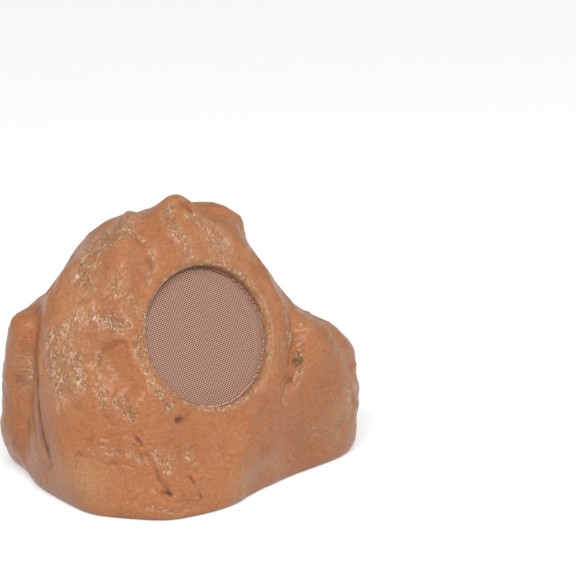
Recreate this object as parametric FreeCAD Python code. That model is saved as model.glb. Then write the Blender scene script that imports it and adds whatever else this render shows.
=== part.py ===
import FreeCAD, Part
import math
import os

# Rock shaped garden speaker, in millimetres, +Z up, its grille towards -Y.
# The origin is the middle of the footprint on the ground.

V = FreeCAD.Vector

# Rock form
# Every boulder is bounded by soft flat faces, each given as the compass
# direction it looks in (0 front, 90 right), its tilt upwards and its distance
# from the heart of the rock.
HEART_HEIGHT = 110.0
MAIN_BOULDER = [
    (0, 22, 70),
    (-12, 0, 138),
    (-48, 17, 119),
    (-92, 10, 160),
    (-92, -8, 169),
    (-117, 5, 151),
    (-70, 42, 147),
    (-135, 40, 148),
    (-30, 80, 137),
    (68, 33, 99),
    (26, 0, 86),
    (30, 20, 85),
    (80, 0, 128),
    (180, 12, 106),
    (170, 45, 124),
    (130, 25, 112),
    (-140, 5, 138),
]
RIGHT_BOULDER = [
    (10, 0, 81),
    (49, 0, 146),
    (90, 0, 180),
    (90, 59, 83),
    (90, 80, 49),
    (-60, 20, -26),
    (165, 12, 90),
    (120, 5, 144),
]
LEFT_BOULDER = [
    (-95, 5, 161),
    (-95, -25, 178),
    (-20, 0, -7),
    (-90, 70, 90),
    (180, 8, 114),
    (-135, 5, 173),
    (-120, 40, 146),
    (90, 0, -60),
]
# Bumps on the crest, as centre and radius
KNOBS = [(-12, 14, 240, 22), (44, 14, 220, 20)]
MAIN_SOFTNESS = 7.0
RIGHT_SOFTNESS = 11.0
LEFT_SOFTNESS = 7.0
CREASE_SOFTNESS = 6.0
FOOT_SOFTNESS = 7.0
FOOT_DROP = 8.0
CORE_X = -12.0
CORE_Y = 14.0
WALL = 6.0
COLUMNS = 72
ROWS = 34
HOLLOW_COLUMNS = 36
HOLLOW_ROWS = 16
REACH_LIMIT = 330.0
BISECTIONS = 20

# Grille opening in the front face, depths measured inwards from the lip
LIP_X = -23.0
LIP_Y = -57.0
LIP_Z = 147.6
FACE_TILT = 22.0
OPENING_RADIUS = 65.0
LIP_ROUND = 3.5
GRILLE_DEPTH = 7.8
GRILLE_SHEET = 1.0
GRILLE_FIT = 0.4
GRILLE_TAPE = 0.8
GRILLE_LEDGE = 2.6
GRILLE_HOLE = 7.6
GRILLE_PITCH = 10.6
GRILLE_RINGS = 5
DRIVER_SEAT = 25.0
BAFFLE_THICKNESS = 10.0
BAFFLE_MARGIN = 13.0

# Woofer
FRAME_FIT = 0.6
FRAME_SHEET = 1.5
DRIVER_TAPE = 1.0
MOUTH_RADIUS = 52.0
WAIST_RADIUS = 34.0
BASKET_DEPTH = 21.0
BASKET_WALL = 1.3
CUP_RADIUS = 25.0
CUP_DEPTH = 6.5
WINDOWS = 6
WINDOW_RIB = 10.0
SURROUND_RADIUS = 54.6
ROLL_OUTER = 51.0
ROLL_INNER = 44.0
ROLL_STEPS = 6
SURROUND_SHEET = 0.6
SURROUND_LAND = 2.4
CONE_SHEET = 0.9
CONE_DEPTH = 18.5
CONE_STEPS = 4
CONE_FLARE = 0.85
CAP_RADIUS = 17.0
CAP_RISE = 5.5
CAP_STEPS = 4
POLE_RADIUS = 12.2
POLE_VENT = 4.0
POLE_GAP = 0.4
FORMER_SHEET = 0.4
FORMER_PROUD = 0.5
FORMER_TAIL = 0.5
WINDING_SHEET = 0.8
WINDING_HEIGHT = 9.0
PLATE_GAP = 0.5
SPIDER_SHEET = 0.5
SPIDER_LAND = 5.5
SPIDER_FOLDS = 3
SPIDER_WAVE = 0.9
TOP_PLATE_RADIUS = 30.0
MOTOR_PLATE = 5.0
MAGNET_RADIUS = 36.0
MAGNET_BORE = 17.0
MAGNET_HEIGHT = 14.0
BACK_PLATE_RADIUS = 31.0
DRIVER_SCREWS = 4
DRIVER_SCREW_CIRCLE = 58.2
DRIVER_SCREW_TURN = 45.0
GLUE_GAP = 0.2

# Screws
SHANK_RADIUS = 1.9
SHANK_LENGTH = 10.0
HEAD_RADIUS = 3.4
HEAD_HEIGHT = 2.2
SHANK_PLAY = 0.3

# Terminal strip under the basket, its lugs and the two lead wires
STRIP_WIDTH = 20.0
STRIP_REACH = 12.0
STRIP_HOLD = 5.0
STRIP_SHEET = 1.6
LUG_SPACING = 10.0
LUG_RADIUS = 1.6
LUG_HEIGHT = 4.0
WIRE_RADIUS = 1.1
WIRE_BEND = 9.0
WIRE_DROP = 40.0
WIRE_LEAD = 26.0

# Terminal block on the base plate
BLOCK_X = 52.0
BLOCK_Y = 66.0
BLOCK_LENGTH = 16.0
BLOCK_PITCH = 10.0
BLOCK_HEIGHT = 12.0
BLOCK_SCREW_RADIUS = 2.4
BLOCK_SCREW_DEPTH = 4.0

# Closed base, heights measured from the rock's lower rim
RIM_HEIGHT = 1.0
PLATE_RECESS = 3.0
BASE_SHEET = 4.0
BASE_TAPE = 1.5
FLANGE_THICKNESS = 7.0
PLATE_INSET = 12.0
PLATE_FIT = 0.5
FLANGE_INSET = 27.0
OUTLINE_HEIGHT = 14.0
OUTLINE_POINTS = 36
BASE_SCREWS = 8
BASE_SCREW_INSET = 19.5
FOOT_RADIUS = 11.0
FOOT_TAPER = 1.5
FOOT_INSET = 42.0
FOOT_TURNS = [-120, -40, 55, 140]

# Cable gland at the back
GLAND_X = 52.0
GLAND_HEIGHT = 36.0
SPOT_DEPTH = 3.0
SPOT_RADIUS = 15.0
SPOT_MARGIN = 3.0
GLAND_WALL = 8.0
THREAD_RADIUS = 8.0
THREAD_LENGTH = 15.0
THREAD_PLAY = 0.3
GLAND_HEX = 22.0
GLAND_HEX_HEIGHT = 5.0
GLAND_SLEEVE = 7.0
GLAND_WASHER = 1.2
NUT_HEIGHT = 4.5
CAP_NUT_WALL = 2.0
CAP_NUT_HEIGHT = 11.0
CAP_NUT_ROUND = 2.5
CABLE_RADIUS = 3.2
SEAL_WALL = 3.0
SEAL_HEIGHT = 7.0
SOFT_GAP = 0.3

# Damping wool on the base plate
WOOL_LENGTH = 100.0
WOOL_WIDTH = 70.0
WOOL_HEIGHT = 42.0
WOOL_ROUND = 14.0
WOOL_X = -62.0
WOOL_Y = 16.0

# Levels and radii that follow from the sizes above
LEDGE_DEPTH = GRILLE_DEPTH + GRILLE_SHEET + GRILLE_TAPE
CHAMBER_RADIUS = OPENING_RADIUS - GRILLE_LEDGE
FRAME_RADIUS = CHAMBER_RADIUS - FRAME_FIT
BAFFLE_HOLE = MOUTH_RADIUS + BASKET_WALL + FRAME_FIT
FRAME_BACK = DRIVER_TAPE - DRIVER_SEAT
FRAME_TOP = FRAME_BACK + FRAME_SHEET
WAIST = FRAME_BACK - BASKET_DEPTH
TOP_PLATE = WAIST - CUP_DEPTH
MAGNET_TOP = TOP_PLATE - MOTOR_PLATE
BACK_PLATE = MAGNET_TOP - MAGNET_HEIGHT
MOTOR_BACK = BACK_PLATE - MOTOR_PLATE
FORMER_INSIDE = POLE_RADIUS + POLE_GAP
FORMER_OUTSIDE = FORMER_INSIDE + FORMER_SHEET
WINDING_OUTSIDE = FORMER_OUTSIDE + WINDING_SHEET
WINDING_BASE = TOP_PLATE - MOTOR_PLATE / 2 - WINDING_HEIGHT / 2
NECK_RADIUS = FORMER_OUTSIDE + GLUE_GAP
NECK = FRAME_TOP - CONE_DEPTH
REBATE = PLATE_RECESS + BASE_SHEET + BASE_TAPE
FLANGE_TOP = REBATE + FLANGE_THICKNESS
PLATE_TOP = PLATE_RECESS + BASE_SHEET


def direction(azimuth, elevation):
    a = math.radians(azimuth)
    e = math.radians(elevation)
    return (math.sin(a) * math.cos(e), -math.cos(a) * math.cos(e), math.sin(e))


def planes(faces):
    return [direction(a, e) + (float(reach),) for a, e, reach in faces]


BOULDERS = [
    (planes(MAIN_BOULDER), MAIN_SOFTNESS),
    (planes(RIGHT_BOULDER), RIGHT_SOFTNESS),
    (planes(LEFT_BOULDER), LEFT_SOFTNESS),
]
FACE = FreeCAD.Placement(V(LIP_X, LIP_Y, LIP_Z), FreeCAD.Rotation(V(1, 0, 0), 90 - FACE_TILT))


def soft_max(values, softness):
    top = max(values)
    return top + softness * math.log(sum(math.exp((v - top) / softness) for v in values))


def rock(x, y, z):
    # Depth below the joined boulders, as a negative number inside them
    h = z - HEART_HEIGHT
    bodies = []
    for faces, softness in BOULDERS:
        gaps = [x * a + y * b + h * c - far for a, b, c, far in faces]
        bodies.append(-soft_max(gaps, softness))
    for kx, ky, kz, r in KNOBS:
        bodies.append(r - math.sqrt((x - kx) ** 2 + (y - ky) ** 2 + (z - kz) ** 2))
    return -soft_max(bodies, CREASE_SOFTNESS)


def skin(x, y, z):
    # The outer face of the rock, drawn in a little towards the ground
    return soft_max([rock(x, y, z), -z - FOOT_DROP], FOOT_SOFTNESS)


def reach(field, level, start, way):
    # How far along way from start the field comes up to the level
    low = 0.0
    high = REACH_LIMIT
    for _ in range(BISECTIONS):
        middle = (low + high) / 2
        x, y, z = (s + middle * w for s, w in zip(start, way))
        if field(x, y, z) < level:
            low = middle
        else:
            high = middle
    return (low + high) / 2


def outline_point(field, level, azimuth, height):
    a = math.radians(azimuth)
    r = reach(field, level, (CORE_X, CORE_Y, height), (math.sin(a), -math.cos(a), 0.0))
    return V(CORE_X + r * math.sin(a), CORE_Y - r * math.cos(a), height)


def inset_point(inset, azimuth, height):
    # A point of the footprint, drawn in from the rock's side by the inset
    point = outline_point(rock, -inset, azimuth, OUTLINE_HEIGHT)
    return V(point.x, point.y, height)


def rock_rows(field, level, base, columns, rows):
    # Points on the rock from straight above its core down to the base
    core = (CORE_X, CORE_Y, HEART_HEIGHT)
    table = [[] for _ in range(rows + 1)]
    for column in range(columns):
        azimuth = 360.0 * column / columns
        a = math.radians(azimuth)
        foot = outline_point(field, level, azimuth, base)
        last = math.atan2(math.hypot(foot.x - CORE_X, foot.y - CORE_Y), base - HEART_HEIGHT)
        for row in range(rows):
            polar = last * row / rows
            side = math.sin(polar)
            way = (side * math.sin(a), -side * math.cos(a), math.cos(polar))
            far = reach(field, level, core, way)
            table[row].append(V(*(c + far * w for c, w in zip(core, way))))
        table[rows].append(foot)
    return table


def facet(*corners):
    return Part.Face(Part.makePolygon(list(corners) + [corners[0]]))


def two_facets(a, b, c, d):
    # Split along the shorter diagonal
    if (a - c).Length < (b - d).Length:
        return [facet(a, b, c), facet(a, c, d)]
    return [facet(a, b, d), facet(b, c, d)]


def upright(solid):
    if solid.Volume < 0:
        solid.reverse()
    return solid


def rock_solid(field, level, base, columns, rows):
    table = rock_rows(field, level, base, columns, rows)
    peak = table[0][0]
    faces = [facet(*table[rows])]
    for here in range(columns):
        there = (here + 1) % columns
        faces.append(facet(peak, table[1][here], table[1][there]))
        for upper, lower in zip(table[1:-1], table[2:]):
            faces += two_facets(upper[here], lower[here], lower[there], upper[there])
    shell = Part.makeShell(faces)
    shell.sewShape()
    return upright(Part.makeSolid(shell))


def revolved(points):
    # A profile of (radius, height) corners turned about the Z axis
    wire = Part.makePolygon([V(r, 0, z) for r, z in points + points[:1]])
    return upright(Part.Face(wire).revolve(V(0, 0, 0), V(0, 0, 1), 360))


def cylinder(radius, low, high, x=0.0, y=0.0):
    return Part.makeCylinder(radius, high - low, V(x, y, low))


def ring(inner, outer, low, high):
    return cylinder(outer, low, high).cut(cylinder(inner, low - 1, high + 1))


def hexagon(across, low, high, x=0.0, y=0.0, turn=0.0):
    r = across / math.sqrt(3)
    angles = [math.radians(turn + 60 * k) for k in range(6)]
    points = [V(x + r * math.cos(a), y + r * math.sin(a), low) for a in angles]
    return facet(*points).extrude(V(0, 0, high - low))


def around(count, radius, turn=0.0):
    angles = [math.radians(turn + 360.0 * k / count) for k in range(count)]
    return [(radius * math.cos(a), radius * math.sin(a)) for a in angles]


def placed(shape, placement):
    moved = shape.copy()
    moved.Placement = placement.multiply(moved.Placement)
    return moved


def footprint(inset, low, high):
    # A prism that follows the rock's footprint at the given inset
    turns = [360.0 * k / OUTLINE_POINTS for k in range(OUTLINE_POINTS)]
    curve = Part.BSplineCurve()
    curve.interpolate([inset_point(inset, turn, low) for turn in turns], PeriodicFlag=True)
    return upright(Part.Face(Part.Wire(curve.toShape())).extrude(V(0, 0, high - low)))


def grille_opening():
    # The stepped hole through the baffle, its lip rounded outwards
    flare = [math.radians(30 * k) for k in range(4)]
    lip = [
        (OPENING_RADIUS + LIP_ROUND * (1 - math.cos(a)), LIP_ROUND * math.sin(a)) for a in flare
    ]
    back = -DRIVER_SEAT - BAFFLE_THICKNESS - BAFFLE_MARGIN
    far = OPENING_RADIUS
    return revolved(
        [(0, back), (BAFFLE_HOLE, back), (BAFFLE_HOLE, -DRIVER_SEAT)]
        + [(CHAMBER_RADIUS, -DRIVER_SEAT), (CHAMBER_RADIUS, -LEDGE_DEPTH)]
        + [(OPENING_RADIUS, -LEDGE_DEPTH)]
        + lip
        + [(OPENING_RADIUS + LIP_ROUND, far), (0, far)]
    )


def gland_place():
    # On the back of the rock, looking straight back
    depth = reach(skin, 0.0, (GLAND_X, 0.0, GLAND_HEIGHT), (0.0, 1.0, 0.0))
    seat = V(GLAND_X, depth - SPOT_DEPTH, GLAND_HEIGHT)
    return FreeCAD.Placement(seat, FreeCAD.Rotation(V(1, 0, 0), -90))


def driver_screw_points():
    return around(DRIVER_SCREWS, DRIVER_SCREW_CIRCLE, DRIVER_SCREW_TURN)


def base_screw_points():
    turns = [360.0 * (k + 0.5) / BASE_SCREWS for k in range(BASE_SCREWS)]
    return [inset_point(BASE_SCREW_INSET, turn, PLATE_RECESS) for turn in turns]


def rock_shell():
    outer = rock_solid(skin, 0.0, 0.0, COLUMNS, ROWS)
    hollow = rock_solid(rock, -WALL, FLANGE_TOP, HOLLOW_COLUMNS, HOLLOW_ROWS)
    gland = gland_place()
    baffle_radius = CHAMBER_RADIUS + BAFFLE_MARGIN
    baffle = cylinder(baffle_radius, -DRIVER_SEAT - BAFFLE_THICKNESS, OPENING_RADIUS)
    boss = cylinder(SPOT_RADIUS + SPOT_MARGIN, -GLAND_WALL, GLAND_WALL)
    pads = placed(baffle, FACE).common(outer).fuse(placed(boss, gland).common(outer))
    shell = outer.cut(hollow).fuse(pads)
    cutters = [placed(grille_opening(), FACE)]
    pilot = -DRIVER_SEAT - SHANK_LENGTH
    for x, y in driver_screw_points():
        cutters.append(placed(cylinder(SHANK_RADIUS + SHANK_PLAY, pilot, 0, x, y), FACE))
    spot = cylinder(SPOT_RADIUS, 0, DRIVER_SEAT)
    bore = cylinder(THREAD_RADIUS + THREAD_PLAY, -2 * GLAND_WALL, GLAND_WALL)
    cutters.append(placed(spot.fuse(bore), gland))
    cutters.append(footprint(PLATE_INSET, -RIM_HEIGHT, REBATE))
    cutters.append(footprint(FLANGE_INSET, -RIM_HEIGHT, FLANGE_TOP + RIM_HEIGHT))
    pilot = PLATE_RECESS + SHANK_LENGTH + SHANK_PLAY
    for p in base_screw_points():
        cutters.append(cylinder(SHANK_RADIUS + SHANK_PLAY, 0, pilot, p.x, p.y))
    return shell.cut(cutters)


def grille_mesh():
    # A flat sheet with six-sided holes in rings about its centre
    sheet = cylinder(OPENING_RADIUS - GRILLE_FIT, -GRILLE_DEPTH - GRILLE_SHEET, -GRILLE_DEPTH)
    low = -GRILLE_DEPTH - 2 * GRILLE_SHEET
    high = -GRILLE_DEPTH + GRILLE_SHEET
    holes = []
    for across in range(-GRILLE_RINGS, GRILLE_RINGS + 1):
        for up in range(-GRILLE_RINGS, GRILLE_RINGS + 1):
            if abs(across + up) <= GRILLE_RINGS:
                x = GRILLE_PITCH * (across + up / 2)
                y = GRILLE_PITCH * up * math.sqrt(3) / 2
                holes.append(hexagon(GRILLE_HOLE, low, high, x, y, 30))
    return sheet.cut(holes)


def grille_tape():
    width = GRILLE_LEDGE - SOFT_GAP
    outer = OPENING_RADIUS - SOFT_GAP
    return ring(outer - width, outer, -LEDGE_DEPTH, SOFT_GAP / 2 - GRILLE_DEPTH - GRILLE_SHEET - SOFT_GAP)


def screw_holes(low, high):
    return [
        cylinder(SHANK_RADIUS + SHANK_PLAY, low, high, x, y) for x, y in driver_screw_points()
    ]


def driver_gasket():
    tape = ring(BAFFLE_HOLE + SOFT_GAP, FRAME_RADIUS - SOFT_GAP, -DRIVER_SEAT, FRAME_BACK)
    return tape.cut(screw_holes(-DRIVER_SEAT - 1, FRAME_BACK + 1))


def basket():
    # Pressed steel: flange, sloping side with windows, ledge and cup
    low = WAIST - BASKET_WALL
    profile = [
        (MOUTH_RADIUS, FRAME_TOP),
        (FRAME_RADIUS, FRAME_TOP),
        (FRAME_RADIUS, FRAME_BACK),
        (MOUTH_RADIUS + BASKET_WALL, FRAME_BACK),
        (WAIST_RADIUS + BASKET_WALL, WAIST + BASKET_WALL),
        (WAIST_RADIUS + BASKET_WALL, low),
        (CUP_RADIUS + BASKET_WALL, low),
        (CUP_RADIUS + BASKET_WALL, TOP_PLATE),
        (WINDING_OUTSIDE + PLATE_GAP, TOP_PLATE),
        (WINDING_OUTSIDE + PLATE_GAP, TOP_PLATE + BASKET_WALL),
        (CUP_RADIUS, TOP_PLATE + BASKET_WALL),
        (CUP_RADIUS, WAIST),
        (WAIST_RADIUS, WAIST),
        (MOUTH_RADIUS, FRAME_BACK - BASKET_WALL),
    ]
    body = revolved(profile)
    top = FRAME_BACK - 2 * BASKET_WALL
    bottom = WAIST + 2 * BASKET_WALL
    band = ring(WAIST_RADIUS - 1, FRAME_RADIUS, bottom, top)
    ribs = []
    for turn in range(WINDOWS):
        rib = Part.makeBox(FRAME_RADIUS + 1, WINDOW_RIB, top - bottom + 2)
        rib.translate(V(0, -WINDOW_RIB / 2, bottom - 1))
        rib.rotate(V(0, 0, 0), V(0, 0, 1), (turn + 0.5) * 360.0 / WINDOWS)
        ribs.append(rib)
    windows = band.cut(ribs)
    return body.cut(windows).cut(screw_holes(FRAME_BACK - 1, FRAME_TOP + 1))


def surround():
    # A half roll of rubber between two flat lands
    middle = (ROLL_OUTER + ROLL_INNER) / 2
    rise = (ROLL_OUTER - ROLL_INNER) / 2
    base = FRAME_TOP + SOFT_GAP
    top = base + SURROUND_SHEET
    angles = [math.pi * k / ROLL_STEPS for k in range(ROLL_STEPS + 1)]
    over = [(middle - rise * math.cos(a), top + rise * math.sin(a)) for a in angles]
    thin = rise - SURROUND_SHEET
    under = [(middle + thin * math.cos(a), base + thin * math.sin(a)) for a in angles]
    inner = ROLL_INNER - SURROUND_LAND
    return revolved(
        [(inner, base), (inner, top)]
        + over
        + [(SURROUND_RADIUS, top), (SURROUND_RADIUS, base)]
        + under
    )


def cone_height(radius):
    share = (radius - NECK_RADIUS) / (ROLL_INNER - SURROUND_LAND - NECK_RADIUS)
    return NECK + (FRAME_TOP - NECK) * share**CONE_FLARE


def woofer_cone():
    # Paper cone with a flat outer rim under the surround's land
    rim = ROLL_INNER - SURROUND_LAND
    radii = [NECK_RADIUS + (rim - NECK_RADIUS) * k / CONE_STEPS for k in range(CONE_STEPS + 1)]
    front = [(r, cone_height(r)) for r in radii]
    back = [(r, z - CONE_SHEET) for r, z in reversed(front)]
    edge = [(ROLL_INNER, FRAME_TOP), (ROLL_INNER, FRAME_TOP - CONE_SHEET)]
    return revolved(front + edge + back)


def dust_cap():
    angles = [math.pi / 2 * k / CAP_STEPS for k in range(CAP_STEPS + 1)]
    base = cone_height(CAP_RADIUS) + GLUE_GAP
    over = [(CAP_RADIUS * math.cos(a), base + CAP_RISE * math.sin(a)) for a in angles]
    thin = CAP_RADIUS - CONE_SHEET
    low = CAP_RISE - CONE_SHEET
    under = [(thin * math.cos(a), base + low * math.sin(a)) for a in reversed(angles)]
    return revolved(over + under)


def coil_former():
    low = WINDING_BASE - FORMER_TAIL
    return ring(FORMER_INSIDE, FORMER_OUTSIDE, low, NECK + FORMER_PROUD)


def voice_coil():
    inner = FORMER_OUTSIDE + GLUE_GAP / 2
    return ring(inner, WINDING_OUTSIDE, WINDING_BASE, WINDING_BASE + WINDING_HEIGHT)


def spider():
    # Corrugated cloth from the former out to the basket's ledge
    inner = FORMER_OUTSIDE + SOFT_GAP
    first = inner + SPIDER_SHEET
    last = CUP_RADIUS
    steps = 2 * SPIDER_FOLDS
    low = WAIST + SOFT_GAP
    wave = [
        (first + (last - first) * k / steps, low + SPIDER_WAVE * (k % 2)) for k in range(steps + 1)
    ]
    land = CUP_RADIUS + SPIDER_LAND
    top = [(r, z + SPIDER_SHEET) for r, z in wave]
    collar = [(inner, low), (inner, low + SPIDER_WAVE + SPIDER_SHEET)]
    outer = [(land, low + SPIDER_SHEET), (land, low)]
    return revolved(collar + top + outer + wave[::-1])


def top_plate():
    return ring(WINDING_OUTSIDE + PLATE_GAP, TOP_PLATE_RADIUS, MAGNET_TOP, TOP_PLATE)


def magnet_ring():
    return ring(MAGNET_BORE, MAGNET_RADIUS, BACK_PLATE, MAGNET_TOP)


def pole_and_back_plate():
    body = revolved(
        [
            (POLE_VENT, MOTOR_BACK),
            (BACK_PLATE_RADIUS, MOTOR_BACK),
            (BACK_PLATE_RADIUS, BACK_PLATE),
            (POLE_RADIUS, BACK_PLATE),
            (POLE_RADIUS, TOP_PLATE),
            (POLE_VENT, TOP_PLATE),
        ]
    )
    return body


def pan_screw(seat):
    # Head above the seat, shank below it
    crown = HEAD_RADIUS * 0.6
    return revolved(
        [
            (0, seat - SHANK_LENGTH),
            (SHANK_RADIUS, seat - SHANK_LENGTH + SHANK_RADIUS),
            (SHANK_RADIUS, seat),
            (HEAD_RADIUS, seat),
            (HEAD_RADIUS, seat + HEAD_HEIGHT / 2),
            (crown, seat + HEAD_HEIGHT),
            (0, seat + HEAD_HEIGHT),
        ]
    )


def driver_screws():
    screws = []
    for x, y in driver_screw_points():
        screw = pan_screw(FRAME_TOP)
        screw.translate(V(x, y, 0))
        screws.append(screw)
    return Part.makeCompound(screws)


def strip_top():
    return WAIST - BASKET_WALL


def terminal_strip():
    start = WAIST_RADIUS + BASKET_WALL - STRIP_HOLD
    board = Part.makeBox(STRIP_WIDTH, STRIP_HOLD + STRIP_REACH, STRIP_SHEET)
    board.translate(V(-STRIP_WIDTH / 2, -start - STRIP_HOLD - STRIP_REACH, strip_top() - STRIP_SHEET))
    return board


def lug_points():
    y = -(WAIST_RADIUS + BASKET_WALL + STRIP_REACH / 2)
    return [(-LUG_SPACING / 2, y), (LUG_SPACING / 2, y)]


def terminal_lugs():
    top = strip_top() - STRIP_SHEET
    return Part.makeCompound([cylinder(LUG_RADIUS, top - LUG_HEIGHT, top, x, y) for x, y in lug_points()])


def wire_path(points, bend):
    # Straight runs joined by arcs that touch them
    edges = []
    start = points[0]
    for before, corner, after in zip(points, points[1:], points[2:]):
        back = (before - corner).normalize()
        on = (after - corner).normalize()
        half = back.getAngle(on) / 2
        trim = bend / math.tan(half)
        middle = (back + on).normalize() * (bend / math.sin(half) - bend)
        first = corner + back * trim
        last = corner + on * trim
        edges.append(Part.makeLine(start, first))
        edges.append(Part.Arc(first, corner + middle, last).toShape())
        start = last
    edges.append(Part.makeLine(start, points[-1]))
    return Part.Wire(edges)


def tube(path, radius):
    start = path.Edges[0].Vertexes[0].Point
    way = path.Edges[0].tangentAt(path.Edges[0].FirstParameter)
    ring_wire = Part.Wire(Part.makeCircle(radius, start, way))
    return upright(path.makePipeShell([ring_wire], True, False))


def lead_wires():
    wires = []
    top = strip_top() - STRIP_SHEET - LUG_HEIGHT
    back = FACE.Rotation.multVec(V(0, 0, -1))
    for side, (x, y) in zip((-1, 1), lug_points()):
        start = FACE.multVec(V(x, y, top - GLUE_GAP))
        drop = start + back * WIRE_DROP
        end = V(
            BLOCK_X + side * BLOCK_PITCH / 2,
            BLOCK_Y - BLOCK_LENGTH / 2 - GLUE_GAP,
            PLATE_TOP + BLOCK_HEIGHT / 2,
        )
        lead = end - V(0, WIRE_LEAD, 0)
        wires.append(tube(wire_path([start, drop, lead, end], WIRE_BEND), WIRE_RADIUS))
    return wires


def terminal_block():
    # Two clamps side by side in one moulding, open at the top for its screws
    body = Part.makeBox(2 * BLOCK_PITCH, BLOCK_LENGTH, BLOCK_HEIGHT)
    body.translate(V(BLOCK_X - BLOCK_PITCH, BLOCK_Y - BLOCK_LENGTH / 2, PLATE_TOP))
    waist = Part.makeBox(BLOCK_PITCH / 5, BLOCK_LENGTH + 2, BLOCK_HEIGHT)
    waist.translate(V(BLOCK_X - BLOCK_PITCH / 10, BLOCK_Y - BLOCK_LENGTH / 2 - 1, PLATE_TOP + BLOCK_HEIGHT / 2))
    cutters = [waist]
    high = PLATE_TOP + BLOCK_HEIGHT
    for side in (-1, 1):
        for end in (-1, 1):
            x = BLOCK_X + side * BLOCK_PITCH / 2
            y = BLOCK_Y + end * BLOCK_LENGTH / 4
            cutters.append(cylinder(BLOCK_SCREW_RADIUS, high - BLOCK_SCREW_DEPTH, high + 1, x, y))
    return body.cut(cutters)


def base_plate():
    plate = footprint(PLATE_INSET + PLATE_FIT, PLATE_RECESS, PLATE_TOP)
    holes = []
    for p in base_screw_points():
        holes.append(cylinder(SHANK_RADIUS + SHANK_PLAY, 0, REBATE, p.x, p.y))
        sink = countersink(SHANK_PLAY)
        sink.translate(V(p.x, p.y, 0))
        holes.append(sink)
    return plate.cut(holes)


def countersink(play):
    low = PLATE_RECESS
    return revolved(
        [
            (0, low - play),
            (HEAD_RADIUS + play, low - play),
            (HEAD_RADIUS + play, low),
            (SHANK_RADIUS + play, low + HEAD_HEIGHT),
            (0, low + HEAD_HEIGHT),
        ]
    )


def base_screws():
    screws = []
    for p in base_screw_points():
        tip = PLATE_RECESS + SHANK_LENGTH
        screw = revolved(
            [
                (0, PLATE_RECESS),
                (HEAD_RADIUS, PLATE_RECESS),
                (SHANK_RADIUS, PLATE_RECESS + HEAD_HEIGHT),
                (SHANK_RADIUS, tip - SHANK_RADIUS),
                (0, tip),
            ]
        )
        screw.translate(V(p.x, p.y, 0))
        screws.append(screw)
    return Part.makeCompound(screws)


def base_gasket():
    outer = footprint(PLATE_INSET + SOFT_GAP + PLATE_FIT, PLATE_TOP, REBATE)
    inner = footprint(FLANGE_INSET - SOFT_GAP, PLATE_TOP - 1, REBATE + 1)
    holes = [
        cylinder(SHANK_RADIUS + SHANK_PLAY, PLATE_TOP - 1, REBATE + 1, p.x, p.y)
        for p in base_screw_points()
    ]
    return outer.cut([inner] + holes)


def feet():
    low = -RIM_HEIGHT
    discs = []
    for turn in FOOT_TURNS:
        p = inset_point(FOOT_INSET, turn, low)
        disc = revolved(
            [
                (0, low),
                (FOOT_RADIUS - FOOT_TAPER, low),
                (FOOT_RADIUS, low + FOOT_TAPER),
                (FOOT_RADIUS, PLATE_RECESS),
                (0, PLATE_RECESS),
            ]
        )
        disc.translate(V(p.x, p.y, 0))
        discs.append(disc)
    return Part.makeCompound(discs)


def gland_body():
    base = GLAND_WASHER
    top = base + GLAND_HEX_HEIGHT
    body = hexagon(GLAND_HEX, base, top)
    body = body.fuse(cylinder(THREAD_RADIUS, -THREAD_LENGTH, base))
    body = body.fuse(cylinder(THREAD_RADIUS, top, top + GLAND_SLEEVE))
    seal = CABLE_RADIUS + SEAL_WALL + SOFT_GAP
    body = body.cut(cylinder(seal, top, top + GLAND_SLEEVE + 1))
    return body.cut(cylinder(CABLE_RADIUS + SEAL_WALL / 2, -THREAD_LENGTH - 1, top + 1))


def gland_washer():
    return ring(THREAD_RADIUS + THREAD_PLAY, GLAND_HEX / 2, 0, GLAND_WASHER)


def gland_seal():
    low = GLAND_WASHER + GLAND_HEX_HEIGHT
    return ring(CABLE_RADIUS, CABLE_RADIUS + SEAL_WALL, low, low + SEAL_HEIGHT)


def gland_cap_nut():
    # Six-sided nut with a rounded mouth, over the sleeve and the seal
    low = GLAND_WASHER + GLAND_HEX_HEIGHT + THREAD_PLAY
    high = low + CAP_NUT_HEIGHT
    outer = THREAD_RADIUS + THREAD_PLAY + CAP_NUT_WALL
    dome = revolved(
        [
            (0, low),
            (2 * outer / math.sqrt(3), low),
            (2 * outer / math.sqrt(3), high - CAP_NUT_ROUND),
            (outer - CAP_NUT_ROUND, high),
            (0, high),
        ]
    )
    body = hexagon(2 * outer, low, high).common(dome)
    body = body.cut(cylinder(THREAD_RADIUS + THREAD_PLAY, low - 1, high - CAP_NUT_WALL))
    return body.cut(cylinder(CABLE_RADIUS + SOFT_GAP, low, high + 1))


def gland_lock_nut():
    nut = hexagon(GLAND_HEX, -GLAND_WALL - NUT_HEIGHT, -GLAND_WALL)
    return nut.cut(cylinder(THREAD_RADIUS + THREAD_PLAY, -2 * THREAD_LENGTH, 0))


def damping_wool():
    pad = Part.makeBox(WOOL_LENGTH, WOOL_WIDTH, WOOL_HEIGHT)
    pad.translate(V(WOOL_X - WOOL_LENGTH / 2, WOOL_Y - WOOL_WIDTH / 2, PLATE_TOP + SOFT_GAP))
    upright_edges = [e for e in pad.Edges if abs(e.Vertexes[0].Z - e.Vertexes[1].Z) > 1]
    pad = pad.makeFillet(WOOL_ROUND, upright_edges)
    crown = [e for e in pad.Edges if min(v.Z for v in e.Vertexes) > PLATE_TOP + WOOL_HEIGHT / 2]
    return pad.makeChamfer(WOOL_ROUND / 2, crown)


def in_face(shape):
    return placed(shape, FACE)


def in_gland(shape):
    return placed(shape, gland_place())


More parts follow.
